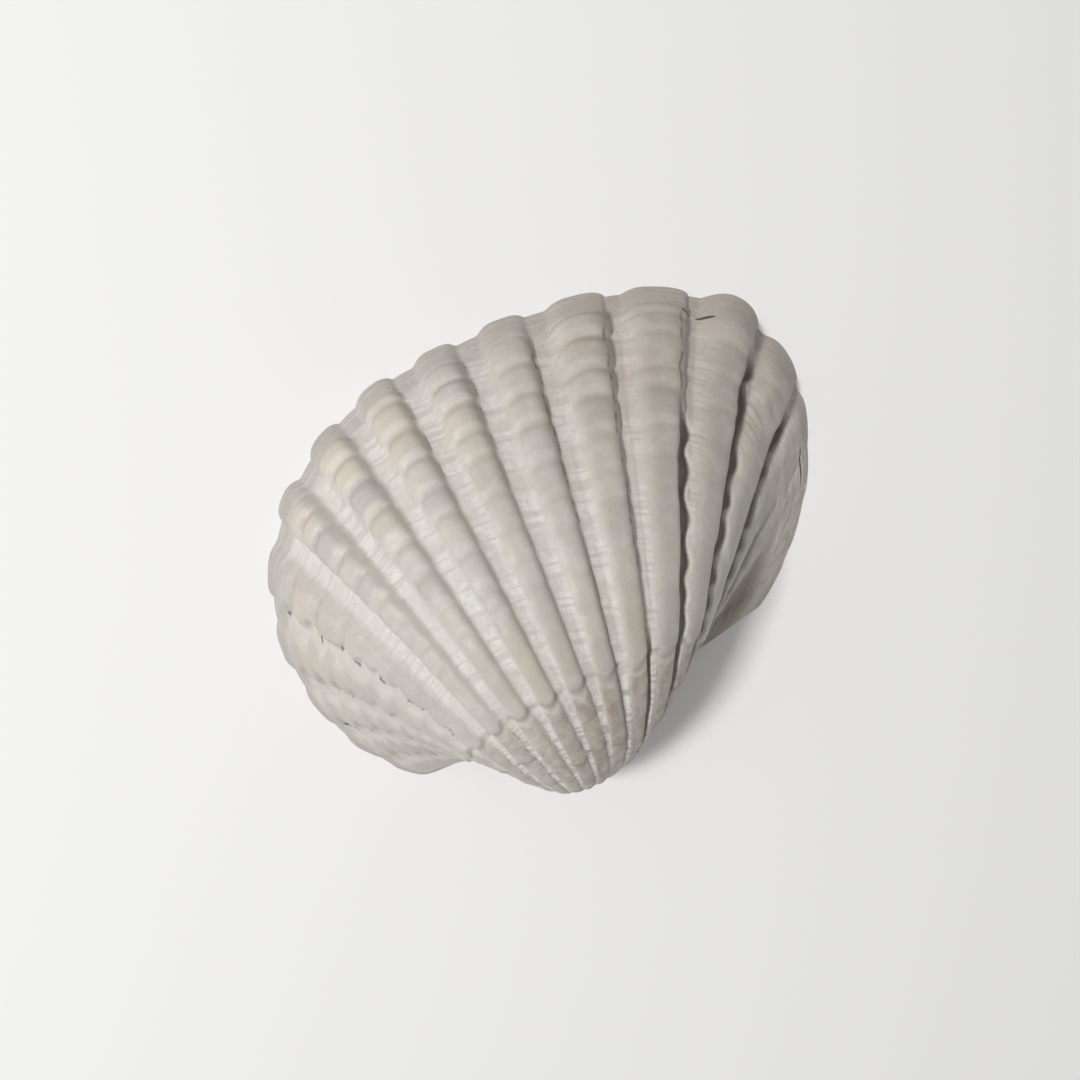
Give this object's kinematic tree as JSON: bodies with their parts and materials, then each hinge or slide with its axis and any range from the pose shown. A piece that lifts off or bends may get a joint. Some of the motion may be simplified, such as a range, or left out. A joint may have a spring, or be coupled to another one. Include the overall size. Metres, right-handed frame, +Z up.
{
  "type": "cockle shell",
  "caption": "One empty valve of a ribbed, beaded cockle shell with a straight hinge line, lying hollow side down on its rim.",
  "frame": {"origin": "on the surface the valve rests on, under the middle of its outline", "axes": "+X along the hinge line, +Y from the hinge towards the round edge, +Z up out of the domed side"},
  "size_m": [0.0556, 0.0437, 0.0171],
  "materials": {
    "shell": "dry, weathered lime, pale grey to cream, faintly glossy on the worn ribs"
  },
  "bodies": {
    "root": {"valve": "shell"}
  },
  "joints": []
}
